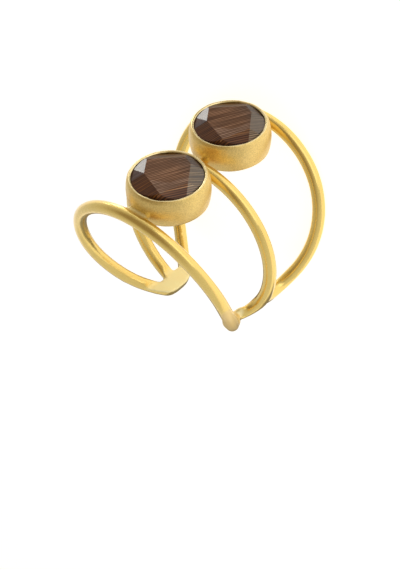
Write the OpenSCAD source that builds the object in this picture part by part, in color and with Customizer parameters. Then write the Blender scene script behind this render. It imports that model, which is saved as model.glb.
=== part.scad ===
// Open ring: three round wires meet in a flat end and in a ball, and carry two round cups with
// faceted stones.
// Lengths are in millimetres. The ring lies on its side, with its rear wire on the plane z = 0.

/* [Hoop] */
// Inner width of the finger hole
finger_d = 17.5; // [16.5:0.1:18.5]
// Diameter of the round wires
wire_d = 1.42; // [1.3:0.01:1.5]
// Height of the hoop over its width
hoop_ratio = 0.98; // [0.96:0.005:1.04]
// Angle round the hoop by which the near side's wires would meet
near_reach = 145.4; // [142:0.1:150]
// Angle round the hoop from the stones to the far end
far_reach = 161.2; // [142:0.1:165]

/* [Wires] */
// How far the front wire bows out along the finger
front_bow = 9.57; // [9.4:0.01:9.7]
// How far the middle wire bows out, towards the rear cup
middle_bow = 0.6; // [0.4:0.01:0.8]
// How far the rear wire bows out
rear_bow = 10.92; // [10.8:0.01:11]
// Fullness of the outer wires' bow: a low value keeps them apart for longer
bow_power = 0.605; // [0.55:0.005:0.7]
// How much wider than the hoop the rear wire is at the stones
rear_spread = 0.28; // [0:0.01:0.4]
// How much higher than the hoop the outer wires are at the stones
outer_rise = 0.13; // [0:0.01:0.3]

/* [Ends] */
// Width of the far end, which is beaten flat
end_w = 3.5; // [3.2:0.1:3.8]
// Length of the far end, before its filed tip
end_len = 1.5; // [1.2:0.1:1.8]
// How far the filed tip reaches past the wires
tip_len = 0.45; // [0.4:0.05:0.8]
// Thickness of the far end
end_t = 0.9; // [0.7:0.05:1.2]
// Diameter of the ball in which the wires end on the near side
ball_d = 1.94; // [1.8:0.02:2.1]
// Centre of the ball, in the hoop's frame
ball_place = [6.82, -2.8, -5.95];
// Where the middle wire ends in the ball, from the ball's centre
ball_entry = [-0.1, 0.42, 0.13];
// Distance of the ball's filed face from its centre
ball_flat = 0.75; // [0.7:0.05:0.9]
// Where the rear wire joins the middle one on the near side, as a share of near_reach
rear_joint = 0.79; // [0.75:0.01:0.85]

/* [Cups] */
// Outer diameter of a cup at its rim
cup_rim_d = 8.1; // [8:0.05:8.2]
// Outer diameter of a cup at half its height
cup_belly_d = 8.56; // [8.5:0.02:8.6]
// Height of a cup
cup_h = 3.21; // [3:0.01:3.4]
// Diameter of the opening inside the rim
opening_d = 7.32; // [7.2:0.02:7.4]
// Thickness of the rim's inner edge, which is turned in over the stone
lip_t = 0.12; // [0.1:0.01:0.14]
// Thickness of the closed back
floor_t = 0.4; // [0.3:0.05:0.6]
// Centre of the front cup's rim, in the hoop's frame
front_cup = [0.43, -4.52, 11.78];
// Centre of the rear cup's rim, in the hoop's frame
rear_cup = [-0.24, 5.91, 11.57];
// Lean of the front cup about the hoop's width and the finger's axis
front_lean = [1.2, -0.8, 0];
// Lean of the rear cup
rear_lean = [0.6, -1.6, 0];
// Diameter of the solder joints between wires and cups
solder_d = 1.05; // [0.9:0.05:1.2]

/* [Stones] */
// Diameter of a stone
stone_d = 7.8; // [7.7:0.05:7.8]
// Height of the table above the rim
table_h = 0.4; // [0.3:0.02:0.44]
// Crown facets, one at each edge of the table: the edge's direction seen from above, its
// distance from the stone's axis, and the facet's slope
crown_facets = [
    [35, 2.2, 23],
    [68, 2.6, 30],
    [131, 2.2, 23],
    [214, 2.3, 24],
    [247, 2.05, 21],
    [339, 2.4, 26],
];
// Slope of the narrow bevel between the crown facets and the girdle
bevel_slope = 55; // [45:1:58]
// Slope of the facets below the girdle
pavilion_slope = 34; // [32:1:36]
// Clearance between a stone and its cup
stone_gap = 0.05; // [0.03:0.01:0.08]

/* [Lying on its side] */
// Lean of the finger's axis from the vertical: the rear wire's curve rolls until it balances
lay_lean = 18.75; // [15:0.05:25]
// Sideways lean, because one end is shorter than the other
lay_side = 1.2; // [0:0.1:3]
// Where the hoop's centre lies when the ring stands over the origin
lay_place = [-0.11, 2.52, 8.373];

/* [Hidden] */
$fn = 64;

gold = "#dcbb67";
brown = "#5b4034";

wire_r = wire_d / 2;
hoop_r = finger_d / 2 + wire_r;
arc_joints = [0.28, 0.56];
far_joints = [0.81, 0.985];
joint_gap = 0.02;
joint_swell = 0.004;
tip_corner = 0.45;
flat_turn = [48, 0, 42];
solder_bite = 0.2;
belly_bulge = (cup_belly_d - cup_rim_d) / 2;
belly_r = (pow(cup_h / 2, 2) + pow(belly_bulge, 2)) / (2 * belly_bulge);
girdle_r = stone_d / 2;
opening_r = opening_d / 2;
// The stone's bevel passes the rim's inner edge at the clearance
girdle_top =
    (opening_r - girdle_r) * tan(bevel_slope) - lip_t - stone_gap / cos(bevel_slope);
girdle_h = 0.34;
seat_depth = 1.34;
seat_w = 0.45;
cavity_r = girdle_r + stone_gap;
big = 30;

// Each wire: bow along the finger, power of its fullness, spread and rise at the stones, place
// of its far end across the plate, and its last joint on the near side
front_wire = [-front_bow, bow_power, 0, outer_rise, -1.4, 0.7];
middle_wire = [middle_bow, 1, 0, 0, 0, rear_joint];
rear_wire = [rear_bow, bow_power, rear_spread, outer_rise, 1.5, rear_joint];

// Point of a wire's centre line: t runs from -1 at the far end over 0 at the stones to 1
function route(w, t) =
    let (turn = t < 0 ? far_reach * t : near_reach * t, face = cos(90 * t))
    [
        (hoop_r + w[2] * face) * sin(turn),
        w[0] * pow(face, w[1]),
        hoop_r * hoop_ratio * cos(turn) + w[3] * face,
    ];

// Where a wire ends: across the far plate, at the rear wire's joint with the middle wire, or
// in the near ball
function wire_end(w, side) =
    let (on_plate = route(w, -far_joints[1]))
    side < 0 ? [on_plate.x, w[4], on_plate.z] :
    w == rear_wire ? route(middle_wire, rear_joint) :
    w == middle_wire ? ball_place + ball_entry : ball_place;

// Points at which a wire's arcs meet, from the stones to its end
function joints(w, side) = [
    for (t = [each arc_joints, side < 0 ? far_joints[0] : w[5]]) route(w, side * t),
    wire_end(w, side),
];

function unit(v) = v / norm(v);

// Chain of arcs through the joints: each one leaves in the direction in which the last one
// ended, so that the wire has no kink. An arc is [start, direction, end].
function arcs(ends, start, heading, i = 0) =
    i == len(ends) ? [] :
    let (
        end = ends[i],
        chord = end - start,
        turned = 2 * (heading * chord) / (chord * chord) * chord - heading
    )
    concat([[start, heading, end]], arcs(ends, end, unit(turned), i + 1));

// Bent rod of round section along one arc
module bent_rod(arc) {
    chord = arc[2] - arc[0];
    ahead = arc[1];
    inward = unit(chord - (chord * ahead) * ahead);
    bend_r = (chord * chord) / (2 * (chord * inward));
    bend_angle = 2 * atan2(chord * inward, chord * ahead);
    cut_angle = joint_gap / bend_r * 180 / PI;
    centre = arc[0] + bend_r * inward;
    axis = cross(ahead, inward);
    multmatrix([
        [-inward.x, ahead.x, axis.x, centre.x],
        [-inward.y, ahead.y, axis.y, centre.y],
        [-inward.z, ahead.z, axis.z, centre.z],
        [0, 0, 0, 1],
    ])
        rotate([0, 0, cut_angle])
            rotate_extrude(angle = bend_angle - 2 * cut_angle, $fn = 160)
                translate([bend_r, 0])
                    circle(r = wire_r, $fn = 32);
}

// Ball a hair thicker than the wire, in which two arcs end just short of each other
module joint_ball(place) {
    translate(place)
        sphere(r = wire_r + joint_swell, $fn = 48);
}

module wire(w) {
    joint_ball(route(w, 0));
    for (side = [-1, 1])
        for (arc = arcs(joints(w, side), route(w, 0), [side, 0, 0])) {
            bent_rod(arc);
            joint_ball(arc[2]);
        }
}

// Frame of the far end: x goes on round the hoop past the wires, y along the finger, z outward
module at_far_end() {
    translate(route(middle_wire, -1))
        rotate([0, -far_reach, 0])
            mirror([1, 0, 0])
                children();
}

module far_plate() {
    translate([0, 0, -end_t / 2])
        linear_extrude(end_t)
            polygon([
                [-end_len, -end_w / 2],
                [tip_len - tip_corner, -end_w / 2],
                [tip_len, tip_corner - end_w / 2],
                [tip_len, end_w / 2 - tip_corner],
                [tip_len - tip_corner, end_w / 2],
                [-end_len, end_w / 2],
            ]);
}

// What is beaten off the wires on both faces of the far end
module far_trim() {
    for (face = [-1, 1])
        translate([(tip_len - end_len) / 2, 0, face * (end_t / 2 + wire_r)])
            cube([end_len + tip_len, end_w + wire_d, wire_d], center = true);
}

// Ball in which the wires end, filed flat on the side that faces outwards and forwards
module near_ball() {
    translate(ball_place)
        rotate(flat_turn)
            difference() {
                sphere(d = ball_d, $fn = 64);
                translate([-ball_d, -ball_d, ball_flat])
                    cube(2 * ball_d);
            }
}

module in_cup(place, lean) {
    translate(place)
        rotate(lean)
            children();
}

// Half section of a cup, with its rim on the x axis
module cup_section() {
    difference() {
        intersection() {
            translate([cup_belly_d / 2 - belly_r, -cup_h / 2])
                circle(r = belly_r, $fn = 200);
            translate([0, -cup_h])
                square([cup_belly_d, cup_h]);
        }
        translate([-1, -lip_t - 1])
            square([opening_r + 1, lip_t + 2]);
        polygon([
            [0, -lip_t],
            [opening_r, -lip_t],
            [cavity_r, opening_r - cavity_r - lip_t],
            [cavity_r, -seat_depth],
            [girdle_r - seat_w, -seat_depth],
            [girdle_r - seat_w, floor_t - cup_h],
            [0, floor_t - cup_h],
        ]);
    }
}

module cup() {
    rotate_extrude($fn = 128)
        cup_section();
}

// Solder joint from a wire's centre line to a cup's wall
module solder(w, place) {
    start = route(w, 0);
    reach = place.y - start.y;
    length = abs(reach) - cup_belly_d / 2 + solder_bite;
    translate([place.x / 2, start.y + sign(reach) * length / 2, start.z])
        rotate([90, 0, 0])
            cylinder(d = solder_d, h = length, center = true, $fn = 32);
}

module hoop_band() {
    difference() {
        union() {
            wire(front_wire);
            wire(middle_wire);
            wire(rear_wire);
        }
        at_far_end() far_trim();
    }
    at_far_end() far_plate();
    near_ball();
    in_cup(front_cup, front_lean) cup();
    in_cup(rear_cup, rear_lean) cup();
    solder(front_wire, front_cup);
    solder(middle_wire, front_cup);
    solder(middle_wire, rear_cup);
    solder(rear_wire, rear_cup);
}

// Takes away all that lies above a plane that slopes down outwards from the table's edge
module crown_cut(facet) {
    rotate([0, 0, facet[0]])
        translate([facet[1], 0, table_h])
            rotate([0, facet[2], 0])
                translate([-big / 2, -big / 2, 0])
                    cube(big);
}

module pavilion_cut(direction) {
    rotate([0, 0, direction])
        translate([girdle_r, 0, girdle_top - girdle_h])
            rotate([0, -pavilion_slope, 0])
                translate([-big / 2, -big / 2, -big])
                    cube(big);
}

// Round blank from which a stone is cut, bevelled above its girdle
module stone_blank() {
    bevel_w = (table_h - girdle_top) / tan(bevel_slope);
    culet = floor_t + stone_gap - cup_h;
    rotate_extrude($fn = 96)
        polygon([
            [0, culet],
            [girdle_r, culet],
            [girdle_r, girdle_top],
            [girdle_r - bevel_w, table_h],
            [0, table_h],
        ]);
}

module stone() {
    difference() {
        stone_blank();
        for (facet = crown_facets)
            crown_cut(facet);
        for (direction = [5:30:335])
            pavilion_cut(direction);
    }
}

// Lays the hoop on its side, with the rear wire below and the stones towards -y
module lay_down() {
    translate(lay_place)
        rotate([lay_lean - 90, lay_side, 180])
            children();
}

module band() {
    color(gold) lay_down() hoop_band();
}

module stone_front() {
    color(brown) lay_down() in_cup(front_cup, front_lean) stone();
}

module stone_rear() {
    color(brown) lay_down() in_cup(rear_cup, rear_lean) stone();
}

band();
stone_front();
stone_rear();
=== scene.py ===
"""Open ring of three round wires in satin gold, with two cups and their faceted stones.

The wires are shaped in millimetres in the hoop's own frame, in which the finger's axis is y
and the stones face up the z axis. The cups and stones are shaped in their cup's frame. All are
then laid on their side, as the ring rests.
"""
import math
from collections import namedtuple

import bmesh
import bpy
from mathutils import Matrix, Vector, noise


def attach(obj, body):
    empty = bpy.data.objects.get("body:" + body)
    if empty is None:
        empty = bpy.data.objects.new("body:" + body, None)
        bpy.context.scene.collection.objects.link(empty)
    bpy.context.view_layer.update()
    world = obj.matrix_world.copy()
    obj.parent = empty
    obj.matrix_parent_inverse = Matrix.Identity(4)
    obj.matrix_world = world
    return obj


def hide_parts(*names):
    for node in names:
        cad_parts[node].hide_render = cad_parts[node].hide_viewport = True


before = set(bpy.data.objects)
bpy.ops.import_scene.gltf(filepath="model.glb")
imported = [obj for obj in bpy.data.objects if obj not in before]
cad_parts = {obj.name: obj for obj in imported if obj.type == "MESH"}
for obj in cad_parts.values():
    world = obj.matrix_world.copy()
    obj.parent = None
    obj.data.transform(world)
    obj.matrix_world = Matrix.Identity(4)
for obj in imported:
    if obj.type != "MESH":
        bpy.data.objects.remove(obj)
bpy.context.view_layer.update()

MM = 0.001

# Hoop and wires, as the model has them
WIRE_R = 0.71
HOOP_R, HOOP_RATIO = 9.46, 0.98
# Degrees from the stones to the near end and to the far end
NEAR_REACH, FAR_REACH = 145.4, 161.2
REAR_JOINT = 0.79
# Bow along the finger, the power of its fullness, spread and rise at the stones, the wire's
# place across the far plate, and its last joint on the near side
Wire = namedtuple("Wire", "bow fullness spread rise plate_y near_joint")
FRONT_WIRE = Wire(-9.57, 0.605, 0, 0.13, -1.4, 0.7)
MIDDLE_WIRE = Wire(0.6, 1, 0, 0, 0, REAR_JOINT)
REAR_WIRE = Wire(10.92, 0.605, 0.28, 0.13, 1.5, REAR_JOINT)
ARC_JOINTS = (0.28, 0.56)
FAR_JOINTS = (0.81, 0.985)
BALL_PLACE = Vector((6.82, -2.8, -5.95))
BALL_ENTRY = Vector((-0.1, 0.42, 0.13))
BALL_R = 0.97
BALL_FLAT = 0.75
BALL_TURN = (48, 0, 42)
PLATE_W, PLATE_LEN, PLATE_T = 3.5, 1.5, 0.9
TIP_LEN, TIP_ROUND = 0.46, 0.36

# Cups: place and lean of each, and the turned shape that they share
CUPS = {
    "front": (Vector((0.43, -4.52, 11.78)), (1.2, -0.8, 0)),
    "rear": (Vector((-0.24, 5.91, 11.57)), (0.6, -1.6, 0)),
}
CUP_H = 3.21
CUP_RIM_R = 4.05
CUP_BULGE = 0.23
FLOOR_T = 0.4
OPENING_R = 3.66
SEAT_R = 3.45
CAVITY_R = 3.95
SEAT_DEPTH = 1.34

# The ring's pose, as the model has it
LAY_LEAN, LAY_SIDE = 18.75, 1.2
LAY_PLACE = Vector((-0.11, 2.52, 8.373))


def turned(x, y, z):
    """Turns about x, then y, then z, in degrees."""
    return (
        Matrix.Rotation(math.radians(z), 4, "Z")
        @ Matrix.Rotation(math.radians(y), 4, "Y")
        @ Matrix.Rotation(math.radians(x), 4, "X")
    )


LAID = Matrix.Scale(MM, 4) @ Matrix.Translation(LAY_PLACE) @ turned(LAY_LEAN - 90, LAY_SIDE, 180)


def in_cup(side):
    """Frame of a cup: its middle at the rim's height, with the stone facing up."""
    place, lean = CUPS[side]
    return Matrix.Translation(place) @ turned(*lean)


def clamped(value):
    return max(0.0, min(1.0, value))


def placed(name, data):
    """New object in the scene, at the origin."""
    piece = bpy.data.objects.new(name, data)
    bpy.context.scene.collection.objects.link(piece)
    return piece


def mesh_from(name, bm):
    mesh = bpy.data.meshes.new(name)
    bm.to_mesh(mesh)
    bm.free()
    return mesh


# ---------------------------------------------------------------- camera

# The camera in the hoop's frame: its distance and its axes
VIEW_DIST = 167.3
RIGHT = Vector((0.76318871, 0.64553346, -0.02880192))
BACK = Vector((0.49219789, -0.55187038, 0.67318669))
UP = BACK.cross(RIGHT)

camera = placed("camera", bpy.data.cameras.new("camera"))
camera.data.lens = 100.3
camera.data.sensor_width = 36
camera.data.shift_x = 0.0048
camera.data.shift_y = -0.0831
camera.data.clip_start = 0.005
camera.data.clip_end = 10
axes = [(LAID.to_3x3() @ axis).normalized() for axis in (RIGHT, UP, BACK)]
camera.matrix_world = Matrix.Translation(LAID @ (VIEW_DIST * BACK)) @ (
    Matrix(axes).transposed().to_4x4()
)
bpy.context.scene.camera = camera


# ---------------------------------------------------------------- materials

# Sockets of a Mix node that hold its two colours and the mixed one
FIRST_COLOUR, SECOND_COLOUR, MIXED_COLOUR = 6, 7, 2
# Distance between the bands of a wave texture whose scale is 1
BAND_PITCH = 0.314
# Values between which nearly all of a noise texture lies
NOISE_LOW, NOISE_HIGH = 0.3, 0.7


def set_stops(ramp, stops):
    """Gives a colour ramp node its stops."""
    bar = ramp.color_ramp.elements
    while len(bar) < len(stops):
        bar.new(0.5)
    for element, (at, colour) in zip(bar, stops):
        element.position = at
        element.color = (*colour, 1)


def grey(value):
    return (value, value, value)


class Nodes:
    """Short way to add nodes to a material."""

    def __init__(self, name):
        self.material = bpy.data.materials.new(name)
        self.material.use_nodes = True
        self.tree = self.material.node_tree
        self.shader = self.tree.nodes["Principled BSDF"]
        self.place = self.add("ShaderNodeTexCoord").outputs["Object"]

    def add(self, kind, **settings):
        node = self.tree.nodes.new(kind)
        for key, value in settings.items():
            setattr(node, key, value)
        return node

    def link(self, a, b):
        self.tree.links.new(a, b)

    def feed(self, name, result):
        """Links a node's result to one of the shader's sockets."""
        self.link(result, self.shader.inputs[name])

    def set(self, name, value):
        """Sets one of the shader's sockets all over the surface."""
        self.shader.inputs[name].default_value = value

    def painted(self, layer):
        """Colour that a piece's mesh carries in a layer."""
        return self.add("ShaderNodeVertexColor", layer_name=layer).outputs["Color"]

    def mapped(self, matrix):
        """Object coordinates turned into the matrix's axes."""
        node = self.add("ShaderNodeMapping")
        self.link(self.place, node.inputs["Vector"])
        node.inputs["Rotation"].default_value = matrix.to_euler()
        return node.outputs["Vector"]

    def vector_math(self, operation, vector, other):
        """Vector Math node on a vector and a fixed one."""
        node = self.add("ShaderNodeVectorMath", operation=operation)
        self.link(vector, node.inputs[0])
        node.inputs[1].default_value = other
        return node

    def noise(self, vector, scale, detail, roughness=0.5):
        node = self.add("ShaderNodeTexNoise")
        self.link(vector, node.inputs["Vector"])
        node.inputs["Scale"].default_value = scale
        node.inputs["Detail"].default_value = detail
        node.inputs["Roughness"].default_value = roughness
        return node.outputs["Fac"]

    def ramp(self, fac, *stops):
        """Colour by a value, through stops that are each a position and a colour."""
        node = self.add("ShaderNodeValToRGB")
        self.link(fac, node.inputs["Fac"])
        set_stops(node, stops)
        return node.outputs["Color"]

    def two_tone(self, noise, low, high):
        """Colour that goes from one tone to the other with a noise texture."""
        return self.ramp(noise, (NOISE_LOW, low), (NOISE_HIGH, high))

    def span(self, fac, low, high, start, end):
        """Goes from low to high while a value goes from start to end."""
        node = self.add("ShaderNodeMapRange")
        self.link(fac, node.inputs["Value"])
        node.inputs["From Min"].default_value = start
        node.inputs["From Max"].default_value = end
        node.inputs["To Min"].default_value = low
        node.inputs["To Max"].default_value = high
        return node.outputs["Result"]

    def mix(self, fac, a, b):
        """Goes from colour a to colour b."""
        node = self.add("ShaderNodeMix", data_type="RGBA")
        self.link(fac, node.inputs["Factor"])
        self.link(a, node.inputs[FIRST_COLOUR])
        self.link(b, node.inputs[SECOND_COLOUR])
        return node.outputs[MIXED_COLOUR]

    def times(self, a, b):
        """One colour multiplied by another."""
        node = self.add("ShaderNodeMix", data_type="RGBA", blend_type="MULTIPLY")
        node.inputs["Factor"].default_value = 1
        self.link(a, node.inputs[FIRST_COLOUR])
        self.link(b, node.inputs[SECOND_COLOUR])
        return node.outputs[MIXED_COLOUR]

    def lacquer(self, weight, roughness):
        """Clear lacquer over the plating, which whitens the edges."""
        self.set("Coat Weight", weight)
        self.set("Coat Roughness", roughness)
        self.set("Coat IOR", 1.5)

    def bump(self, height, strength, distance, normal=None):
        """Fine relief, over another one if its normal is given."""
        node = self.add("ShaderNodeBump")
        self.link(height, node.inputs["Height"])
        node.inputs["Strength"].default_value = strength
        node.inputs["Distance"].default_value = distance
        if normal:
            self.link(normal, node.inputs["Normal"])
        return node.outputs["Normal"]


# How much rougher the worked gold is than the drawn wire
WORKED_ROUGHNESS = 0.3


def brushed_gold():
    """Satin gold of the wires, paler where hammered or soldered, partly as worked gold and partly
    as a painted highlight, and dull where filed.
    """
    m = Nodes("brushed_gold")
    clouds = m.noise(m.place, scale=380, detail=3)
    grain = m.noise(m.place, scale=7000, detail=2)
    dents = m.noise(m.place, scale=900, detail=2)
    tone = m.two_tone(clouds, (0.87, 0.635, 0.18), (0.93, 0.685, 0.205))
    pale_and_highlit = m.two_tone(clouds, (1.0, 0.85, 0.43), (1.0, 0.92, 0.52))
    dull = m.two_tone(clouds, (0.88, 0.66, 0.27), (0.94, 0.71, 0.30))
    worked = m.add("ShaderNodeSeparateColor")
    m.link(m.painted("worked"), worked.inputs["Color"])
    hammered_and_highlit, filed = worked.outputs["Red"], worked.outputs["Green"]
    # Paler where hammered or soldered, partly as worked gold and partly as a painted highlight
    m.feed("Base Color", m.mix(filed, m.mix(hammered_and_highlit, tone, pale_and_highlit), dull))
    m.set("Metallic", 0.92)
    m.lacquer(0.42, 0.1)
    either = m.add("ShaderNodeMath", operation="MAXIMUM")
    m.link(hammered_and_highlit, either.inputs[0])
    m.link(filed, either.inputs[1])
    roughened = m.add("ShaderNodeMath", operation="MULTIPLY_ADD")
    m.link(either.outputs[0], roughened.inputs[0])
    roughened.inputs[1].default_value = WORKED_ROUGHNESS
    m.link(m.span(clouds, 0.2, 0.27, NOISE_LOW, NOISE_HIGH), roughened.inputs[2])
    m.feed("Roughness", roughened.outputs[0])
    fine = m.bump(grain, strength=0.25, distance=0.00001)
    m.feed("Normal", m.bump(dents, strength=0.2, distance=0.00004, normal=fine))
    return m.material


def matt_gold():
    """Sandblasted gold of the cups: cloudy tone, fine sparkling grain, small pits and dents."""
    m = Nodes("matt_gold")
    clouds = m.noise(m.place, scale=420, detail=4)
    grain = m.noise(m.place, scale=8000, detail=2)
    pits = m.noise(m.place, scale=2600, detail=3, roughness=0.6)
    dents = m.noise(m.place, scale=750, detail=2)
    tone = m.two_tone(clouds, (0.86, 0.63, 0.20), (0.93, 0.68, 0.24))
    speck = m.ramp(grain, (0.3, (0.76, 0.74, 0.7)), (0.65, (1.0, 1.0, 1.0)))
    m.feed("Base Color", m.times(tone, speck))
    m.set("Metallic", 0.86)
    m.feed("Roughness", m.span(clouds, 0.34, 0.44, NOISE_LOW, NOISE_HIGH))
    m.lacquer(0.3, 0.35)
    fine = m.bump(grain, strength=0.8, distance=0.00003)
    pitted = m.bump(pits, strength=0.5, distance=0.00004, normal=fine)
    m.feed("Normal", m.bump(dents, strength=0.5, distance=0.00012, normal=pitted))
    return m.material


def burnished_gold():
    """Gold of the rims, which were rubbed down over the stones: brighter and smoother."""
    m = Nodes("burnished_gold")
    clouds = m.noise(m.place, scale=900, detail=3)
    rubbed = m.noise(m.place, scale=1500, detail=2)
    m.feed("Base Color", m.two_tone(clouds, (0.82, 0.65, 0.31), (0.95, 0.79, 0.43)))
    m.set("Metallic", 1)
    m.feed("Roughness", m.span(clouds, 0.2, 0.3, NOISE_LOW, NOISE_HIGH))
    m.feed("Normal", m.bump(rubbed, strength=0.3, distance=0.00003))
    return m.material


# The fibres' bearing in the cup, the distance from one to the next in metres, and how the
# coordinates are squeezed so that noise draws out into fibres
FIBRE_TURN = 60
FIBRE_PITCH = 0.00022
FIBRE_STRETCH = (0.02, 1, 0.02)
# Painted shade of the rim in the glass, where the rim would mirror itself dark along one side,
# beyond a circle that lies off the stone's middle: the circle's middle, the radii between which
# the painted shade darkens the glass, and the shares of tone and gloss that are left
RIM_SHADE_MIDDLE = Vector((-0.15, 0.161, -0.3))
RIM_SHADE_START, RIM_SHADE_END = 3.64 * MM, 3.76 * MM
RIM_SHADE_TONE, RIM_SHADE_GLOSS = 0.5, 0.25


def fibre_glass(side, facets, gloss):
    """Brown glass whose straight parallel fibres show through its polished facets, with painted
    light and shade from its patches and a painted shade of the rim along one side.
    """
    m = Nodes(f"fibre_glass_{side}_{facets}")
    fibre_axes = (LAID @ in_cup(side) @ turned(0, 0, FIBRE_TURN)).to_3x3().normalized()
    along = m.vector_math("MULTIPLY", m.mapped(fibre_axes.transposed()), FIBRE_STRETCH)
    drawn_out = along.outputs["Vector"]
    lines = m.add("ShaderNodeTexWave", bands_direction="Y")
    m.link(drawn_out, lines.inputs["Vector"])
    lines.inputs["Scale"].default_value = BAND_PITCH / FIBRE_PITCH
    lines.inputs["Distortion"].default_value = 2
    lines.inputs["Detail"].default_value = 2
    lines.inputs["Detail Scale"].default_value = 0.6
    fine = m.noise(drawn_out, scale=9000, detail=1)
    strands = m.noise(drawn_out, scale=3000, detail=2)
    haze = m.noise(m.place, scale=700, detail=2)
    threads = m.ramp(
        fine,
        (0.36, (0.6, 0.56, 0.52)),
        (0.48, (0.94, 0.92, 0.9)),
        (0.56, (1.08, 1.1, 1.12)),
        (0.66, (1.6, 1.7, 1.8)),
    )
    ruled = m.ramp(
        lines.outputs["Fac"],
        (0, (0.42, 0.38, 0.35)),
        (0.5, (0.95, 0.95, 0.95)),
        (1, (1.66, 1.74, 1.82)),
    )
    broad = m.ramp(strands, (0.35, (0.86, 0.84, 0.82)), (0.65, (1.14, 1.16, 1.18)))
    cloudy = m.two_tone(haze, grey(0.9), grey(1.1))
    # Painted shade of the rim: tone and coat are darkened beyond the circle
    away = m.vector_math("DISTANCE", m.place, LAID @ in_cup(side) @ RIM_SHADE_MIDDLE)
    off_middle = away.outputs["Value"]
    shade = m.span(off_middle, 1, RIM_SHADE_TONE, RIM_SHADE_START, RIM_SHADE_END)
    body = m.times(threads, ruled)
    for layer in (broad, cloudy, m.painted("glass_tone_and_light"), shade):
        body = m.times(body, layer)
    m.feed("Base Color", body)
    m.set("Roughness", 0.4)
    m.set("Specular IOR Level", 0.1)
    m.feed(
        "Coat Weight",
        m.span(off_middle, gloss, RIM_SHADE_GLOSS * gloss, RIM_SHADE_START, RIM_SHADE_END),
    )
    m.set("Coat Roughness", 0.02)
    m.set("Coat IOR", 1.75)
    m.feed("Normal", m.bump(fine, strength=0.2, distance=0.00002))
    return m.material


# ---------------------------------------------------------------- wires

# Steps along each arc of a wire, and on each half of the plate's tip
ARC_STEPS, TIP_STEPS = 14, 8
# Unevenness of a wire's thickness, and the last share of its route over which it thins out
WIRE_WAVES = ((0.012, 0.35, 0),)
THINNING = 0.1
# Half sizes of the beads at the cups, and how far they reach past the gap on each side
BEAD_W, BEAD_H, BEAD_OVERLAP = 0.5, 0.4, 0.35
# Solder along the front wire by the front cup: bearing round the cup, gap that it fills and
# height, then the drops' radius and the share of the gap by which it grows
WEB = (
    (-107, 0.3, -2.25), (-101, 0.2, -2.13), (-95, 0.14, -2.05), (-89, 0.12, -2.05),
    (-83, 0.15, -2.1),
)
WEB_R, WEB_GROWTH = 0.36, 1 / 3
# Drops of solder beside the ball: way to the camera's right and up, and radius. All lie a
# little behind it
END_DROPS = ((0.55, 0.85, 0.36), (0.88, 1.1, 0.36), (1.3, 1.25, 0.32))
END_DROPS_BEHIND = 0.15
# Size of the cubes by which the wires and their solder are grown together
GROWN_FINENESS = 0.105
GROWN_SMOOTHING = 5
# Where the wires are beaten down before the plate: length, and half thickness at its start
PLATE_RUN, PLATE_START = 1.5, 1.4
# Radius round the plate's middle within which gold can belong to it
PLATE_AREA_R = 6
# Filed face: its height over the ball's middle, its slope, the way in which it rises, and how
# far the file reaches
FILED_H, FILED_SLOPE = 0.5, 0.2
FILED_WAY = Vector((-0.5, 0.87))
FILED_R = 2.2
# Way in which the front wire's filed end runs from the ball
END_WAY = Vector((0.453, -0.537, 0.711)).normalized()

AT_BALL = Matrix.Translation(BALL_PLACE) @ turned(*BALL_TURN)


def route(wire, t):
    """Point of a wire's centre line, from -1 at the far end over 0 at the stones to 1."""
    turn = math.radians((FAR_REACH if t < 0 else NEAR_REACH) * t)
    face = max(math.cos(math.radians(90 * t)), 0)
    return Vector((
        (HOOP_R + wire.spread * face) * math.sin(turn),
        wire.bow * face ** wire.fullness,
        HOOP_R * HOOP_RATIO * math.cos(turn) + wire.rise * face,
    ))


AT_PLATE = (
    Matrix.Translation(route(MIDDLE_WIRE, -1))
    @ turned(0, -FAR_REACH, 0)
    @ Matrix.Scale(-1, 4, (1, 0, 0))
)


def joints(wire, side):
    """Points at which the wire's arcs meet, from the stones to its end."""
    found = [route(wire, side * t) for t in ARC_JOINTS]
    found.append(route(wire, side * (FAR_JOINTS[0] if side < 0 else wire.near_joint)))
    if side < 0:
        end = route(wire, -FAR_JOINTS[1])
        end.y = wire.plate_y
    elif wire is REAR_WIRE:
        end = route(MIDDLE_WIRE, REAR_JOINT)
    else:
        end = BALL_PLACE + (BALL_ENTRY if wire is MIDDLE_WIRE else Vector())
    return found + [end]


def arc_points(wire, side):
    """Points along the chain of arcs on one side of the stones."""
    start, heading = route(wire, 0), Vector((side, 0, 0))
    points = []
    for end in joints(wire, side):
        chord = end - start
        inward = (chord - chord.dot(heading) * heading).normalized()
        bend_r = chord.length_squared / (2 * chord.dot(inward))
        angle = 2 * math.atan2(chord.dot(inward), chord.dot(heading))
        for i in range(1, ARC_STEPS + 1):
            a = angle * i / ARC_STEPS
            points.append(
                start + bend_r * (1 - math.cos(a)) * inward + bend_r * math.sin(a) * heading
            )
        heading = (2 * heading.dot(chord) / chord.length_squared * chord - heading).normalized()
        start = end
    return points


def wobble(point, scale, seed):
    """Small smooth value from -1 to 1, for the unevenness of handwork."""
    return noise.noise(point * scale + Vector((seed, 0, 0)))


def unevenness(point, waves, seed):
    """Sum of wobbles, each given by its size, its scale and its shift of the seed."""
    return sum(size * wobble(point, scale, seed + shift) for size, scale, shift in waves)


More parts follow.
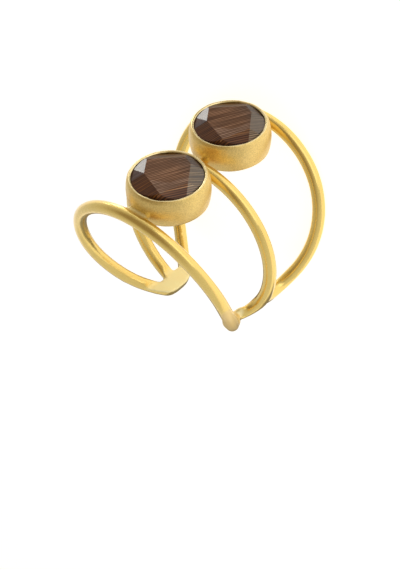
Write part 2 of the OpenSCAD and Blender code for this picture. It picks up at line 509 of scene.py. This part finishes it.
def wire_mesh(name, wire, seed, taper):
    """Round wire along its whole route, a little uneven, as a closed mesh."""
    line = arc_points(wire, -1)[::-1] + [route(wire, 0)] + arc_points(wire, 1)
    curve = bpy.data.curves.new(name, "CURVE")
    curve.dimensions = "3D"
    curve.bevel_depth = WIRE_R
    curve.bevel_resolution = 8
    curve.use_fill_caps = True
    spline = curve.splines.new("POLY")
    spline.points.add(len(line) - 1)
    for i, (place, point) in enumerate(zip(line, spline.points)):
        point.co = (*place, 1)
        near_end = clamped((i / (len(line) - 1) - (1 - THINNING)) / THINNING)
        point.radius = (1 + unevenness(place, WIRE_WAVES, seed)) * (1 - taper * near_end)
    helper = placed(name, curve)
    mesh = bpy.data.meshes.new_from_object(
        helper.evaluated_get(bpy.context.evaluated_depsgraph_get())
    )
    bpy.data.objects.remove(helper)
    bpy.data.curves.remove(curve)
    return mesh


def add_far_plate(bm):
    """Far end, beaten flat, with a rounded tip."""
    half = PLATE_W / 2
    tip = []
    for i in range(-TIP_STEPS, TIP_STEPS + 1):
        tip.append((TIP_LEN - TIP_ROUND * abs(i / TIP_STEPS) ** 3, half * i / TIP_STEPS))
    outline = [(-PLATE_LEN, -half)] + tip + [(-PLATE_LEN, half)]
    face = bm.faces.new([bm.verts.new((x, y, -PLATE_T / 2)) for x, y in outline])
    raised = bmesh.ops.extrude_face_region(bm, geom=[face])["geom"]
    top = [g for g in raised if isinstance(g, bmesh.types.BMVert)]
    bmesh.ops.translate(bm, vec=(0, 0, PLATE_T), verts=top)
    verts = list({v for v in face.verts} | set(top))
    bmesh.ops.transform(bm, matrix=AT_PLATE, verts=verts)
    bmesh.ops.recalc_face_normals(bm, faces=list({f for v in verts for f in v.link_faces}))


def add_near_ball(bm):
    """Ball in which the wires end, flat on its outer side."""
    ball = bmesh.ops.create_uvsphere(bm, u_segments=48, v_segments=24, radius=BALL_R)["verts"]
    edges = {e for v in ball for e in v.link_edges}
    faces = {f for v in ball for f in v.link_faces}
    cut = bmesh.ops.bisect_plane(
        bm, geom=ball + list(edges | faces), plane_co=(0, 0, BALL_FLAT), plane_no=(0, 0, 1),
        clear_outer=True,
    )
    rim = [e for e in cut["geom_cut"] if isinstance(e, bmesh.types.BMEdge)]
    bmesh.ops.contextual_create(bm, geom=rim)
    kept = {v for e in rim for v in e.verts} | {v for v in ball if v.is_valid}
    bmesh.ops.transform(bm, matrix=AT_BALL, verts=list(kept))


def add_bead(bm, wire, side):
    """Bead of solder between a wire and a cup, drawn in where they meet."""
    place = CUPS[side][0]
    start = route(wire, 0)
    reach = place.y - start.y
    gap = abs(reach) - CUP_RIM_R - CUP_BULGE
    middle = Vector((place.x / 2, start.y + math.copysign(gap + WIRE_R, reach) / 2, start.z))
    size = (BEAD_W, max(gap, 0) / 2 + BEAD_OVERLAP, BEAD_H, 1)
    bmesh.ops.create_uvsphere(
        bm, u_segments=32, v_segments=16, radius=1,
        matrix=Matrix.Translation(middle) @ Matrix.Diagonal(size),
    )


def add_drop(bm, place, radius):
    """Round drop of solder."""
    bmesh.ops.create_uvsphere(
        bm, u_segments=24, v_segments=12, radius=radius, matrix=Matrix.Translation(place)
    )


def web_places():
    """Middles of the solder along the front wire, where it lies against the front cup."""
    places = []
    for bearing, gap, z in WEB:
        way = math.radians(bearing)
        r = CUP_RIM_R + CUP_BULGE + gap / 2
        places.append(in_cup("front") @ Vector((r * math.cos(way), r * math.sin(way), z)))
    return places


def add_solder(bm):
    """Solder at the cups' joints, beside the ball, and along the front wire."""
    for wire, side in (
        (FRONT_WIRE, "front"), (MIDDLE_WIRE, "front"), (MIDDLE_WIRE, "rear"), (REAR_WIRE, "rear")
    ):
        add_bead(bm, wire, side)
    for right, up, size in END_DROPS:
        add_drop(bm, BALL_PLACE + right * RIGHT + up * UP - END_DROPS_BEHIND * BACK, size)
    for place, (_, gap, _) in zip(web_places(), WEB):
        add_drop(bm, place, WEB_R + WEB_GROWTH * gap)


def beaten(bm):
    """Flattens the wires into the plate, and files the ball's face with the wire's end."""
    to_plate, to_ball = AT_PLATE.inverted(), AT_BALL.inverted()
    for v in bm.verts:
        local = to_plate @ v.co
        into_run = local.x + PLATE_LEN + PLATE_RUN
        if local.length < PLATE_AREA_R and into_run > 0:
            share = clamped(into_run / PLATE_RUN)
            thick = PLATE_START + (PLATE_T / 2 - PLATE_START) * share * share * (3 - 2 * share)
            local.z = max(-thick, min(thick, local.z))
            v.co = AT_PLATE @ local
        local = to_ball @ v.co
        height = FILED_H + FILED_SLOPE * Vector((local.x, local.y)).dot(FILED_WAY)
        if local.length < FILED_R and local.z > height:
            local.z = height
            v.co = AT_BALL @ local


def smoothed(bm, verts, times):
    for _ in range(times):
        bmesh.ops.smooth_vert(
            bm, verts=verts, factor=0.5, use_axis_x=True, use_axis_y=True, use_axis_z=True
        )


# Area that flows into the plate, given by its radius round the plate's middle and by its start
# and end along the plate, then the same round the solder, and how often all of it is smoothed
EASED_AREA_R, EASED_START, EASED_END = 7, -2.4, 0.4
EASED_BY_BALL = BALL_PLACE + 0.95 * RIGHT + 1.1 * UP
EASED_SOLDER_R = 0.9
EASED_TIMES = 12


def eased(bm):
    """Lets the wires flow into the plate and into the solder without a step."""
    to_plate = AT_PLATE.inverted()
    solder = [EASED_BY_BALL] + web_places()
    near = []
    for v in bm.verts:
        local = to_plate @ v.co
        by_plate = (
            local.length < EASED_AREA_R and EASED_START < local.x + PLATE_LEN < EASED_END
        )
        if by_plate or any((v.co - place).length < EASED_SOLDER_R for place in solder):
            near.append(v)
    smoothed(bm, near, EASED_TIMES)


# Hammered gold, paler on the plate's faces, partly as worked gold and partly as a painted
# highlight: how far it begins before the plate's root, the length over which it comes up, and the
# same for its way down the plate's sides. Then the radius of the solder's paler mark, which is
# partly a painted highlight, and its soft edge
HAMMERED_BEFORE, HAMMERED_RISE = 0.6, 0.8
HAMMERED_SIDE, HAMMERED_SIDE_RISE = 0.16, 0.1
# Middle of the solder's paler mark beside the ball, partly a painted highlight
SOLDER_HIGHLIGHT_BY_BALL = BALL_PLACE + 0.6 * RIGHT + 0.95 * UP
SOLDER_HIGHLIGHT_R, SOLDER_HIGHLIGHT_EDGE = 0.8, 0.3
# Filed gold: its start and end along the front wire's end, its radius there and its soft edge
FILED_START, FILED_END = -0.3, 9
FILED_GOLD_R, FILED_EDGE = 1.2, 0.25


def marked(bm):
    """Marks the hammered plate, the solder and the filed end, which look unlike drawn wire; the
    paler marks on the plate and the solder are partly painted highlight.
    """
    to_plate = AT_PLATE.inverted()
    worked = bm.verts.layers.float_color.new("worked")
    solder = [SOLDER_HIGHLIGHT_BY_BALL] + web_places()
    for v in bm.verts:
        local = to_plate @ v.co
        hammered_and_highlit = 0
        if local.length < PLATE_AREA_R:
            hammered_and_highlit = clamped((local.x + PLATE_LEN + HAMMERED_BEFORE) / HAMMERED_RISE)
            off_face = abs(local.z) - PLATE_T / 2
            hammered_and_highlit *= clamped((off_face + HAMMERED_SIDE) / HAMMERED_SIDE_RISE)
        near = min((v.co - place).length for place in solder)
        # The solder's paler mark, partly a painted highlight
        hammered_and_highlit = max(hammered_and_highlit, clamped((SOLDER_HIGHLIGHT_R - near) / SOLDER_HIGHLIGHT_EDGE))
        away = v.co - BALL_PLACE
        filed = 0
        if FILED_START < away.dot(END_WAY) < FILED_END:
            filed = clamped((FILED_GOLD_R - away.cross(END_WAY).length) / FILED_EDGE)
        v[worked] = (hammered_and_highlit, filed, 0, 1)


def finished(name, bm, matrix, materials, smooth=True):
    """Object at the origin from a shape in millimetres, with its materials."""
    bmesh.ops.transform(bm, matrix=matrix, verts=bm.verts)
    mesh = mesh_from(name, bm)
    for material in materials:
        mesh.materials.append(material)
    mesh.polygons.foreach_set("use_smooth", [smooth] * len(mesh.polygons))
    piece = placed(name, mesh)
    return piece


def wires(gold):
    """The three wires with both ends and their solder, grown together into one body."""
    bm = bmesh.new()
    for name, wire, seed, taper in (
        ("front", FRONT_WIRE, 3, 0), ("middle", MIDDLE_WIRE, 11, 0.3), ("rear", REAR_WIRE, 23, 0.1)
    ):
        bm.from_mesh(wire_mesh(name, wire, seed, taper))
    add_far_plate(bm)
    add_near_ball(bm)
    add_solder(bm)
    helper = placed("wires_grown", mesh_from("wires", bm))
    grown = helper.modifiers.new("grown", "REMESH")
    grown.mode = "VOXEL"
    grown.voxel_size = GROWN_FINENESS
    bm = bmesh.new()
    bm.from_object(helper, bpy.context.evaluated_depsgraph_get())
    bpy.data.objects.remove(helper)
    smoothed(bm, bm.verts, GROWN_SMOOTHING)
    beaten(bm)
    eased(bm)
    marked(bm)
    return finished("wires", bm, LAID, [gold])


# ---------------------------------------------------------------- cups

# The cup's outline from the middle of its floor round its rim and back, each point given by
# its distance from the axis and its height. The wall bulges between two heights, of which the
# first is measured from the floor and the second from the rim
FOOT = ((0, -CUP_H), (3.9, -CUP_H), (4.0, -CUP_H + 0.03))
WALL_START, WALL_END, WALL_STEPS = 0.12, -0.28, 16
RIM = (
    (4.06, -0.19), (4.03, -0.12), (3.985, -0.06), (3.93, -0.02), (3.87, 0), (3.81, -0.004),
    (3.755, -0.022), (3.71, -0.05), (3.675, -0.085), (OPENING_R, -0.12),
)
INSIDE = (
    (CAVITY_R, OPENING_R - CAVITY_R - 0.12), (CAVITY_R, -SEAT_DEPTH), (SEAT_R, -SEAT_DEPTH),
    (SEAT_R, FLOOR_T - CUP_H), (0, FLOOR_T - CUP_H),
)
# Radii between which the rim is burnished, and the height above which it is
BURNISHED_IN, BURNISHED_OUT, BURNISHED_Z = 3.6, 3.95, -0.1
# Radius outside which the cup is uneven, height above which it is so as a rim, and the radius
# outside which the rest is so as a wall
UNEVEN_R, UNEVEN_RIM_Z, UNEVEN_WALL_R = 3.5, -0.2, 3.96
# Radius inside which the rim's edge begins to wander, and the width over which that comes up
LIP_R, LIP_W = 4.05, 0.4
# Unevenness of the rim's inner edge, of its height and of the wall
EDGE_WAVES = ((0.045, 3.2, 0), (0.03, 9, 0))
LEVEL_WAVES = ((0.02, 2.4, 5), (0.012, 11, 0))
WALL_WAVES = ((0.012, 0.9, 9),)


def cup(side, gold, rim_gold, seed):
    """Cup turned in one piece, with a slightly uneven rim rubbed down over the stone."""
    bulge_r = ((CUP_H / 2) ** 2 + CUP_BULGE ** 2) / (2 * CUP_BULGE)
    wall = []
    for i in range(WALL_STEPS + 1):
        z = -CUP_H + WALL_START + (CUP_H - WALL_START + WALL_END) * i / WALL_STEPS
        depth = z + CUP_H / 2
        wall.append((CUP_RIM_R + CUP_BULGE - bulge_r + math.sqrt(bulge_r ** 2 - depth ** 2), z))
    bm = bmesh.new()
    verts = [bm.verts.new((x, 0, z)) for x, z in (*FOOT, *wall, *RIM, *INSIDE)]
    edges = [bm.edges.new(pair) for pair in zip(verts, verts[1:])]
    bmesh.ops.spin(
        bm, geom=verts + edges, cent=(0, 0, 0), axis=(0, 0, 1), angle=2 * math.pi, steps=160,
        use_merge=True,
    )
    bmesh.ops.remove_doubles(bm, verts=bm.verts, dist=1e-5)
    bmesh.ops.recalc_face_normals(bm, faces=bm.faces)
    for face in bm.faces:
        middle = face.calc_center_median()
        r = math.hypot(middle.x, middle.y)
        face.material_index = int(BURNISHED_IN < r < BURNISHED_OUT and middle.z > BURNISHED_Z)
    for v in bm.verts:
        r = math.hypot(v.co.x, v.co.y)
        if r < UNEVEN_R:
            continue
        around = Vector((v.co.x / r, v.co.y / r, 0))
        if v.co.z > UNEVEN_RIM_Z:
            # The rim's inner edge wanders a little, and its top is not quite level
            inner = clamped((LIP_R - r) / LIP_W)
            v.co += around * inner * unevenness(around, EDGE_WAVES, seed)
            v.co.z += unevenness(around, LEVEL_WAVES, seed)
        elif r > UNEVEN_WALL_R:
            v.co += around * unevenness(v.co, WALL_WAVES, seed)
    return finished("cup_" + side, bm, LAID @ in_cup(side), [gold, rim_gold])


# ---------------------------------------------------------------- stones

# Tones of the glass behind its facets: its own brown, with painted light and shade that stand in
# for the glass mirroring and darkening itself inside. Each patch goes from the first tone to the
# second one in a direction, between two distances from the stone's axis
TONE_AND_LIGHT_PATCHES = {
    "table": ((0.176, 0.084, 0.041), (0.125, 0.068, 0.040), 72, 0.9, 2.4),
    # The band is a painted sheen across the table's fibres
    "band": ((0.195, 0.105, 0.060), (0.230, 0.130, 0.080), 339, 1.0, 2.0),
    "right": ((0.160, 0.086, 0.026), (0.100, 0.062, 0.028), 90, -1.0, 1.6),
    "upper right": ((0.055, 0.028, 0.014), (0.040, 0.020, 0.010), 340, 0, 2.0),
    "back": ((0.140, 0.062, 0.010), (0.127, 0.055, 0.008), 40, -2.0, 1.5),
    "glare": ((0.110, 0.070, 0.020), (0.110, 0.070, 0.020), 0, 0, 1),
    "left": ((0.080, 0.034, 0.021), (0.072, 0.029, 0.018), 270, 1.0, 2.6),
    "lower left": ((0.074, 0.028, 0.008), (0.087, 0.026, 0.003), 320, -1.0, 1.2),
    "strip": ((0.165, 0.064, 0.018), (0.165, 0.066, 0.020), 0, 0, 1),
    "light line": ((0.200, 0.090, 0.035), (0.200, 0.090, 0.035), 0, 0, 1),
    "low": ((0.115, 0.040, 0.012), (0.100, 0.036, 0.012), 30, -1.5, 0.5),
    "low right": ((0.210, 0.130, 0.062), (0.190, 0.100, 0.045), 270, 0, 1.5),
    "girdle": ((0.08, 0.035, 0.018), (0.08, 0.035, 0.018), 0, 0, 1),
}
# Bearings of the crown's facets, and the least upward slopes of the table and of a crown facet
CROWN = {
    35: "right", 68: "upper right", 131: "back", 214: "glare", 247: "lower left", 339: "strip",
}
TABLE_SLOPE, CROWN_SLOPE = 0.98, 0.3
# Lines that part the patches: the patch that is cut, a point of the line, its bearing, and the
# patch that lies to the left of it
CUTS = (
    ("table", (1.2, -1.06), 205, "band"),
    ("table", (1.2, -1.06), 248, "band"),
    ("table", (0.28, 0.86), 162, "table"),
    ("glare", (-1.78, -1.47), 172, "left"),
    ("lower left", (-0.9, -1.8), 245, "lower left"),
    ("strip", (2.61, 0.11), 303, "low right"),
    ("strip", (1.56, -2.61), 242, "light line"),
    ("light line", (1.66, -2.66), 242, "low"),
    ("right", (2.6, 0.3), 20, "right"),
)
# Patches of brighter and of duller gloss than the rest, and the gloss of all three kinds
BRIGHT = ("right", "glare", "low right")
STILL = ("left", "back")
GLOSS = {"deep": 0.2, "bright": 0.7, "still": 0.03}
# Least angle of a facet's edge in radians, the width to which it is broken, and how much
# brighter the broken edge's tone is painted, as a painted glint
EDGE_ANGLE, EDGE_BREAK, EDGE_GLINT = 0.12, 0.03, 1.6


def glass_patch(face):
    """Name of the patch that lies behind a face of the uncut stone."""
    n = face.normal
    if n.z > TABLE_SLOPE:
        return "table"
    if n.z > CROWN_SLOPE:
        way = math.degrees(math.atan2(n.y, n.x))
        return CROWN[min(CROWN, key=lambda bearing: abs((way - bearing + 180) % 360 - 180))]
    return "girdle"


def glass_tone_and_light(patch, place):
    """Tone, with its painted light and shade, of a patch at a place in the cup's frame."""
    first, second, bearing, near, far = TONE_AND_LIGHT_PATCHES[patch]
    way = math.radians(bearing)
    share = (place.x * math.cos(way) + place.y * math.sin(way) - near) / (far - near)
    return [a + (b - a) * clamped(share) for a, b in zip(first, second)]


def cut_stone(side):
    """The model's stone, with patches of tone and painted light and shade behind its facets, and
    their edges just broken and painted brighter as a glint.
    """
    bm = bmesh.new()
    bm.from_mesh(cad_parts["stone_" + side].data)
    bmesh.ops.transform(bm, matrix=(LAID @ in_cup(side)).inverted(), verts=bm.verts)
    bmesh.ops.remove_doubles(bm, verts=bm.verts, dist=0.002)
    bmesh.ops.dissolve_limit(bm, angle_limit=math.radians(1.5), verts=bm.verts, edges=bm.edges)
    names = list(TONE_AND_LIGHT_PATCHES)
    mark = bm.faces.layers.int.new("patch")
    for face in bm.faces:
        face[mark] = names.index(glass_patch(face))
    for patch, (x, y), bearing, left in CUTS:
        way = math.radians(bearing)
        to_left = Vector((-math.sin(way), math.cos(way), 0))
        start = Vector((x, y, 0))
        faces = [f for f in bm.faces if f[mark] == names.index(patch)]
        edges = {e for f in faces for e in f.edges}
        verts = {v for f in faces for v in f.verts}
        bmesh.ops.bisect_plane(
            bm, plane_co=start, plane_no=to_left, geom=faces + list(edges | verts)
        )
        for face in bm.faces:
            if face[mark] == names.index(patch):
                if (face.calc_center_median() - start).dot(to_left) > 0:
                    face[mark] = names.index(left)
    tones = bm.loops.layers.float_color.new("glass_tone_and_light")
    for face in bm.faces:
        patch = names[face[mark]]
        face.material_index = 1 if patch in BRIGHT else 2 if patch in STILL else 0
        for loop in face.loops:
            loop[tones] = (*glass_tone_and_light(patch, loop.vert.co), 1)
    sharp = [
        e for e in bm.edges if len(e.link_faces) == 2 and e.calc_face_angle() > EDGE_ANGLE
    ]
    broken = bmesh.ops.bevel(
        bm, geom=sharp, offset=EDGE_BREAK, offset_type="OFFSET", segments=1, profile=0.5,
        affect="EDGES", material=-1, clamp_overlap=True,
    )["faces"]
    # Painted glint: the broken edges' tone is brightened
    for face in broken:
        for loop in face.loops:
            loop[tones] = [EDGE_GLINT * value for value in loop[tones][:3]] + [1]
    bm.faces.layers.int.remove(mark)
    glass = [fibre_glass(side, facets, gloss) for facets, gloss in GLOSS.items()]
    return finished("cut_stone_" + side, bm, LAID @ in_cup(side), glass, smooth=False)


# ---------------------------------------------------------------- the ring

gold, rim_gold = matt_gold(), burnished_gold()
for piece in (
    wires(brushed_gold()),
    cup("front", gold, rim_gold, seed=2),
    cup("rear", gold, rim_gold, seed=31),
):
    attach(piece, "root")
    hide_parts("band")
for side in CUPS:
    stone = cut_stone(side)
    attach(stone, "root")
    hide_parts("stone_" + side)


# ---------------------------------------------------------------- floor and lights

FLOOR_SIZE = 3
MATT = 0.9
# Middle and radius of the painted pool of light in the floor, and its painted glow from its edge
# inwards
POOL_PLACE, POOL_R = (-0.04, -0.04), 0.25
PAINTED_POOL_GLOW = ((0, grey(0.3)), (0.45, grey(0.6)), (0.7, grey(0.66)), (0.85, grey(0.72)))
# Height at which the cards and the light panels lie over the floor
CARD_Z, PANEL_Z = 0.0003, 0.0005
RING_MIDDLE = Vector((0, 0, 0.009))
# Bright facet in which the camera sees each panel: its bearing and slope, and a place on it
GLARE_BEARING, GLARE_SLOPE = 214, 24
GLARE_SPOT = Vector((-2.75, -0.55, 0.27))
# Direction of the tent's opening, and the tent's tint by its nearness to it, as a cosine
TENT_OPENING = (0.21, -0.366, 0.906)
TENT = (
    (0, (0.71, 0.71, 0.73)), (0.35, (0.67, 0.66, 0.66)), (0.6, (0.57, 0.54, 0.50)),
    (0.77, (0.46, 0.42, 0.36)), (0.86, (0.31, 0.25, 0.18)), (1, (0.28, 0.22, 0.15)),
)


def flat_sheet(name, place, width, length, material):
    """Level rectangular sheet, given by its middle."""
    bm = bmesh.new()
    bmesh.ops.create_grid(bm, x_segments=1, y_segments=1, size=0.5)
    lying = Matrix.Translation(place) @ Matrix.Diagonal((width, length, 1, 1))
    bmesh.ops.transform(bm, matrix=lying, verts=bm.verts)
    mesh = mesh_from(name, bm)
    mesh.materials.append(material)
    return placed(name, mesh)


def floor():
    """Pale floor with a painted pool of light: its emission brightens it towards the ring, standing
    in for a lit table.
    """
    m = Nodes("pale_floor")
    tone = m.noise(m.place, scale=30, detail=2)
    m.feed("Base Color", m.two_tone(tone, grey(0.86), grey(0.88)))
    m.set("Roughness", MATT)
    pool = m.add("ShaderNodeTexGradient", gradient_type="SPHERICAL")
    around = m.add("ShaderNodeMapping", vector_type="TEXTURE")
    m.link(m.place, around.inputs["Vector"])
    around.inputs["Location"].default_value = (*POOL_PLACE, 0)
    around.inputs["Scale"].default_value = (POOL_R, POOL_R, POOL_R)
    m.link(around.outputs["Vector"], pool.inputs["Vector"])
    # Painted pool of light: the floor's own emission
    m.feed("Emission Color", m.ramp(pool.outputs["Fac"], *PAINTED_POOL_GLOW))
    m.set("Emission Strength", 1)
    ground = flat_sheet("floor", (0, 0, 0), FLOOR_SIZE, FLOOR_SIZE, m.material)


def card(name, place, width, length, tone):
    """Dark card on the floor that paints dark reflections into the ring: only the ring's mirrored
    light shows it, and the camera, diffuse light and shadows don't see it.
    """
    m = Nodes(name + "_paper")
    dark_reflection_sheet = m.noise(m.place, scale=900, detail=3)
    m.feed("Base Color", m.two_tone(dark_reflection_sheet, grey(0.93 * tone), grey(1.07 * tone)))
    m.set("Roughness", MATT)
    sheet = flat_sheet(name, (*place, CARD_Z), width, length, m.material)
    sheet.visible_camera = sheet.visible_diffuse = sheet.visible_shadow = False


def lamp(name, width, length, glow):
    """Rectangular light that the camera doesn't see."""
    light = bpy.data.lights.new(name, "AREA")
    light.shape = "RECTANGLE"
    light.size = width
    light.size_y = length
    light.energy = glow * math.pi * width * length
    box = placed(name, light)
    box.visible_camera = False
    return box


def softbox(name, bearing, height, distance, width, length, glow):
    """Light that faces the ring, given by its bearing and height in degrees."""
    box = lamp(name, width, length, glow)
    bearing, height = math.radians(bearing), math.radians(height)
    away = Vector((
        math.cos(bearing) * math.cos(height), math.sin(bearing) * math.cos(height), math.sin(height)
    ))
    box.location = RING_MIDDLE + distance * away
    box.rotation_euler = away.to_track_quat("Z", "Y").to_euler()


def floor_panel(name, side, width, length, glow):
    """Light panel lying on the floor where the camera finds it in a stone's bright facet."""
    to_ring = LAID @ in_cup(side)
    way, slope = math.radians(GLARE_BEARING), math.radians(GLARE_SLOPE)
    facing = to_ring.to_3x3() @ Vector((
        math.cos(way) * math.sin(slope), math.sin(way) * math.sin(slope), math.cos(slope)
    ))
    spot = to_ring @ GLARE_SPOT
    ray = (spot - camera.matrix_world.translation).normalized().reflect(facing.normalized())
    on_floor = spot - ray * (spot.z / ray.z)
    panel = lamp(name, width, length, glow)
    panel.location = (on_floor.x, on_floor.y, PANEL_Z)
    panel.rotation_euler = (math.pi, 0, math.atan2(ray.y, ray.x) - math.pi / 2)
    panel.visible_diffuse = False


def studio_sky():
    """Light tent: bright low down all round, and dim at its opening over the camera."""
    world = bpy.data.worlds.new("studio")
    world.use_nodes = True
    nodes, links = world.node_tree.nodes, world.node_tree.links
    direction = nodes.new("ShaderNodeTexCoord").outputs["Generated"]
    nearness = nodes.new("ShaderNodeVectorMath")
    nearness.operation = "DOT_PRODUCT"
    links.new(direction, nearness.inputs[0])
    nearness.inputs[1].default_value = TENT_OPENING
    tint = nodes.new("ShaderNodeValToRGB")
    links.new(nearness.outputs["Value"], tint.inputs["Fac"])
    set_stops(tint, TENT)
    links.new(tint.outputs["Color"], nodes["Background"].inputs["Color"])
    nodes["Background"].inputs["Strength"].default_value = 1
    bpy.context.scene.world = world


floor()
# Cards that only the ring's reflections see, as painted dark reflections in the gold
card("grey_card", (0.006, 0.0355), 0.048, 0.051, 0.4)
card("black_card_front", (0.0305, -0.054), 0.015, 0.02, 0.1)
card("black_card_rear", (0.0105, -0.025), 0.011, 0.012, 0.1)
softbox("side_box", -125, 12, 0.5, 0.58, 0.2, 0.82)
floor_panel("panel_front", "front", 0.012, 0.04, 4.1)
floor_panel("panel_rear", "rear", 0.008, 0.024, 3.6)
studio_sky()
bpy.context.scene.view_settings.view_transform = "Standard"
